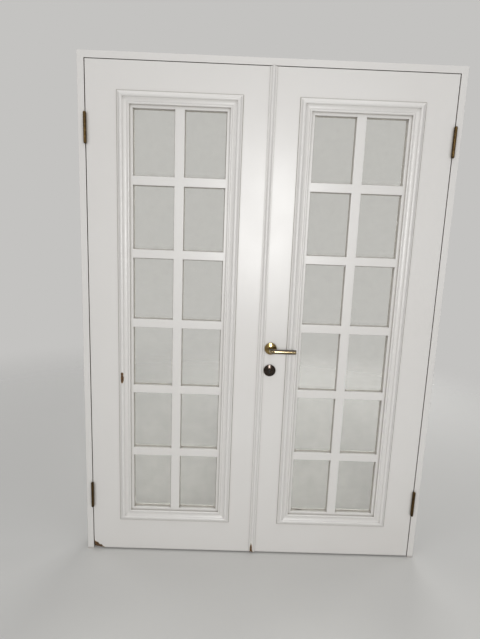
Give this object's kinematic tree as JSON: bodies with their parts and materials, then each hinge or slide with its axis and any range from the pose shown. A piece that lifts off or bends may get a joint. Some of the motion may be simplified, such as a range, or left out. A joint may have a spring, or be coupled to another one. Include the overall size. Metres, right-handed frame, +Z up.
{
  "type": "glazed french door set with frame",
  "caption": "Pair of glazed, panelled french doors with raised mouldings, brass levers, mortice lock and flush bolts, hung on butt hinges in a rebated frame.",
  "frame": {"origin": "at floor level, midway between the jambs and midway through the thickness of the closed leaves", "axes": "+X to the right and +Y away from the side that the doors open to, +Z up"},
  "size_m": [1.47, 0.164, 2.067],
  "materials": {
    "lacquer": "white satin lacquer on fibreboard and softwood",
    "glass": "clear float glass",
    "brass": "polished and lacquered",
    "steel": "zinc plated"
  },
  "bodies": {
    "frame": {"left_jamb": "lacquer", "right_jamb": "lacquer", "head": "lacquer", "head_keep": "brass", "head_keep_screws": "brass", "frame_hinge_screws": "brass", "right_upper_hinge_frame_plate": "brass", "right_upper_hinge_pin": "brass", "right_lower_hinge_frame_plate": "brass", "right_lower_hinge_pin": "brass", "left_upper_hinge_frame_plate": "brass", "left_upper_hinge_pin": "brass", "left_lower_hinge_frame_plate": "brass", "left_lower_hinge_pin": "brass"},
    "active_leaf": {"right_upper_hinge_door_plate": "brass", "right_lower_hinge_door_plate": "brass", "right_leaf_hinge_screws": "brass", "right_hinge_stile": "lacquer", "right_meeting_stile": "lacquer", "right_top_rail": "lacquer", "right_bottom_rail": "lacquer", "right_front_grid": "lacquer", "right_back_grid": "lacquer", "right_front_moulding": "lacquer", "right_back_moulding": "lacquer", "right_glass": "glass", "cover_strip": "lacquer", "lock_faceplate": "brass", "lock_faceplate_screws": "brass", "lock_case": "steel", "lock_cover": "steel", "outer_rose": "brass", "inner_rose": "brass", "outer_escutcheon": "brass", "inner_escutcheon": "brass"},
    "handle": {"outer_lever": "brass", "inner_lever": "brass", "spindle": "steel", "follower": "steel"},
    "latch": {"latch_bolt": "brass"},
    "deadbolt": {"deadbolt": "brass"},
    "inactive_leaf": {"left_upper_hinge_door_plate": "brass", "left_lower_hinge_door_plate": "brass", "left_leaf_hinge_screws": "brass", "left_hinge_stile": "lacquer", "left_meeting_stile": "lacquer", "left_top_rail": "lacquer", "left_bottom_rail": "lacquer", "left_front_grid": "lacquer", "left_back_grid": "lacquer", "left_front_moulding": "lacquer", "left_back_moulding": "lacquer", "left_glass": "glass", "strike_plate": "brass", "strike_screws": "brass", "flush_bolt_screws": "brass", "top_bolt_plate": "brass", "bottom_bolt_plate": "brass"},
    "top_bolt": {"top_bolt_rod": "brass"},
    "bottom_bolt": {"bottom_bolt_rod": "brass"}
  },
  "joints": [
    {"name": "active_leaf_swing", "type": "hinge", "parent": "frame", "child": "active_leaf", "pos_m": [0.7075, -0.027, 0], "axis": [0, 0, 1], "range_deg": [0, 170]},
    {"name": "inactive_leaf_swing", "type": "hinge", "parent": "frame", "child": "inactive_leaf", "pos_m": [-0.7075, -0.027, 0], "axis": [0, 0, 1], "range_deg": [-170, 0]},
    {"name": "lever_turn", "type": "hinge", "parent": "active_leaf", "child": "handle", "pos_m": [0.042, 0, 0.953], "axis": [0, 1, 0], "range_deg": [0, 40], "stiffness_Nm_per_rad": 1.5, "springref_deg": -34.38},
    {"name": "latch_slide", "type": "slide", "parent": "active_leaf", "child": "latch", "axis": [1, 0, 0], "range_m": [0, 0.011]},
    {"name": "deadbolt_slide", "type": "slide", "parent": "active_leaf", "child": "deadbolt", "axis": [-1, 0, 0], "range_m": [0, 0.014]},
    {"name": "top_bolt_slide", "type": "slide", "parent": "inactive_leaf", "child": "top_bolt", "axis": [0, 0, 1], "range_m": [0, 0.015]},
    {"name": "bottom_bolt_slide", "type": "slide", "parent": "inactive_leaf", "child": "bottom_bolt", "axis": [0, 0, -1], "range_m": [0, 0.015]}
  ],
  "couplings": [
    {"joint": "inactive_leaf_swing", "follows": "active_leaf_swing", "ratio": -1},
    {"joint": "latch_slide", "follows": "lever_turn", "m_per_rad": 0.01575}
  ]
}
